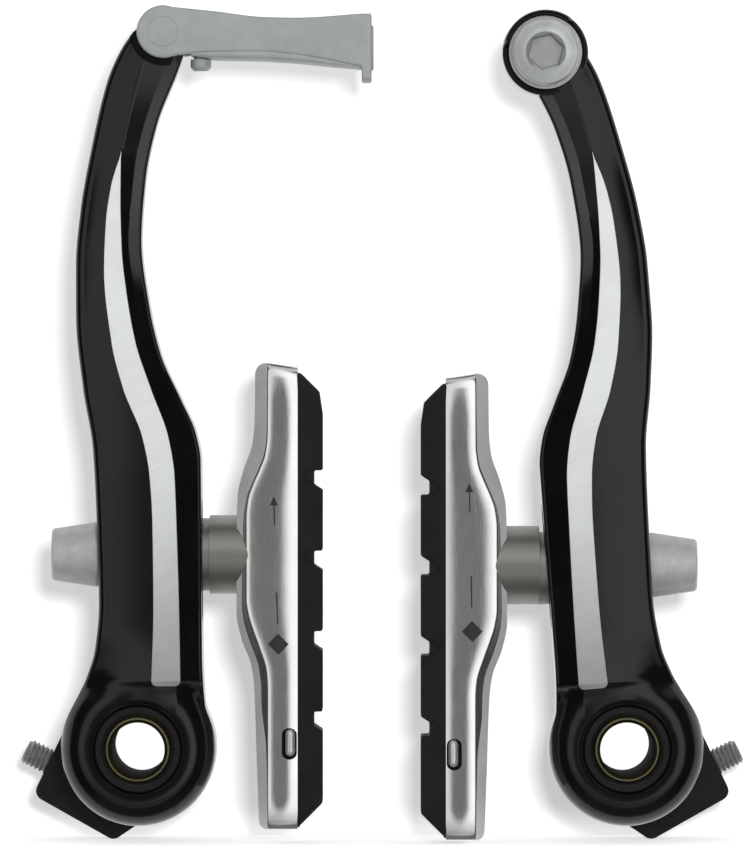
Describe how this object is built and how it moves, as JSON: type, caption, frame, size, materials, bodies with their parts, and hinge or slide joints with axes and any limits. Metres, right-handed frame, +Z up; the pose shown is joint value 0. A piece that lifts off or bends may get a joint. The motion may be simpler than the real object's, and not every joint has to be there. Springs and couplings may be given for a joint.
{
  "type": "v-brake",
  "caption": "Pair of bicycle rim-brake arms on pivot bushes, with turning cartridge pads on spherical washers, return springs, a cable link and a cable anchor.",
  "frame": {"origin": "midway between the two pivot axes, on the rear mounting plane of the bosses", "axes": "+Z up the arms, -Y to the front of the brake, +X across from the link's arm to the anchor's arm"},
  "size_m": [0.1094, 0.03, 0.1253],
  "materials": {
    "arm_black": "gloss black, with a brushed strip",
    "zinc_bush": "yellow zinc",
    "black_plastic": "satin",
    "spring_steel": "bright",
    "dark_steel": "dark phosphate",
    "shoe_alloy": "polished",
    "pad_rubber": "matte",
    "sintered_steel": "sintered",
    "nickel_steel": "satin nickel",
    "nut_steel": "sintered, light",
    "link_alloy": "satin cast"
  },
  "bodies": {
    "pivots": {"left_pivot_bush": "zinc_bush", "left_spring_holder": "black_plastic", "left_locating_pin": "spring_steel", "right_pivot_bush": "zinc_bush", "right_spring_holder": "black_plastic", "right_locating_pin": "spring_steel"},
    "left_tension_screw": {"left_tension_screw": "dark_steel"},
    "left_arm": {"left_arm": "arm_black", "left_bearing_sleeve": "black_plastic", "left_return_spring": "spring_steel", "left_spring_peg": "spring_steel"},
    "left_slot_washers": {"left_inner_dome": "sintered_steel", "left_outer_dome": "sintered_steel"},
    "left_cup_washers": {"left_inner_cup": "sintered_steel", "left_outer_cup": "sintered_steel"},
    "left_pad": {"left_brake_shoe": "shoe_alloy", "left_pad_insert": "pad_rubber", "left_pad_pin": "spring_steel", "left_shoe_stud": "spring_steel", "left_flat_washer": "nickel_steel", "left_shoe_nut": "nut_steel"},
    "right_tension_screw": {"right_tension_screw": "dark_steel"},
    "right_arm": {"right_arm": "arm_black", "right_bearing_sleeve": "black_plastic", "right_return_spring": "spring_steel", "right_spring_peg": "spring_steel", "anchor_bolt": "nickel_steel", "anchor_washer": "nickel_steel"},
    "right_slot_washers": {"right_inner_dome": "sintered_steel", "right_outer_dome": "sintered_steel"},
    "right_cup_washers": {"right_inner_cup": "sintered_steel", "right_outer_cup": "sintered_steel"},
    "right_pad": {"right_brake_shoe": "shoe_alloy", "right_pad_insert": "pad_rubber", "right_pad_pin": "spring_steel", "right_shoe_stud": "spring_steel", "right_flat_washer": "nickel_steel", "right_shoe_nut": "nut_steel"},
    "cable_link": {"cable_link": "link_alloy", "link_pin": "nickel_steel", "link_stop": "link_alloy"}
  },
  "joints": [
    {"name": "left_arm_pivot", "type": "hinge", "parent": "pivots", "child": "left_arm", "pos_m": [-0.0365, -0.0174, 0], "axis": [0, 1, 0], "range_deg": [-28, 4], "stiffness_Nm_per_rad": 0.8, "deforming": ["left_return_spring"]},
    {"name": "left_tension_screw_travel", "type": "slide", "parent": "pivots", "child": "left_tension_screw", "axis": [-0.9003, 0, 0.4352], "range_m": [-0.0002, 0.0025]},
    {"name": "left_pad_height", "type": "slide", "parent": "left_arm", "child": "left_slot_washers", "axis": [0, 0, 1], "range_m": [-0.005, 0.005]},
    {"name": "left_pad_toe", "type": "hinge", "parent": "left_slot_washers", "child": "left_cup_washers", "pos_m": [-0.0317, -0.0174, 0.029], "axis": [0, 0, 1], "range_deg": [-3, 3]},
    {"name": "left_pad_turn", "type": "hinge", "parent": "left_cup_washers", "child": "left_pad", "pos_m": [-0.0317, -0.0174, 0.029], "axis": [1, 0, 0], "continuous": true},
    {"name": "right_arm_pivot", "type": "hinge", "parent": "pivots", "child": "right_arm", "pos_m": [0.0365, -0.0174, 0], "axis": [0, -1, 0], "range_deg": [-28, 4], "stiffness_Nm_per_rad": 0.8, "deforming": ["right_return_spring"]},
    {"name": "right_tension_screw_travel", "type": "slide", "parent": "pivots", "child": "right_tension_screw", "axis": [0.9003, 0, 0.4352], "range_m": [-0.0002, 0.0025]},
    {"name": "right_pad_height", "type": "slide", "parent": "right_arm", "child": "right_slot_washers", "axis": [-0.0854, 0, 0.9963], "range_m": [-0.005, 0.005]},
    {"name": "right_pad_toe", "type": "hinge", "parent": "right_slot_washers", "child": "right_cup_washers", "pos_m": [0.02933, -0.0174, 0.02739], "axis": [0, 0, 1], "range_deg": [-3, 3]},
    {"name": "right_pad_turn", "type": "hinge", "parent": "right_cup_washers", "child": "right_pad", "pos_m": [0.02933, -0.0174, 0.02739], "axis": [1, 0, 0], "continuous": true},
    {"name": "link_swing", "type": "hinge", "parent": "left_arm", "child": "cable_link", "pos_m": [-0.0328, -0.0174, 0.1072], "axis": [0, -1, 0], "range_deg": [-12, 100]}
  ]
}
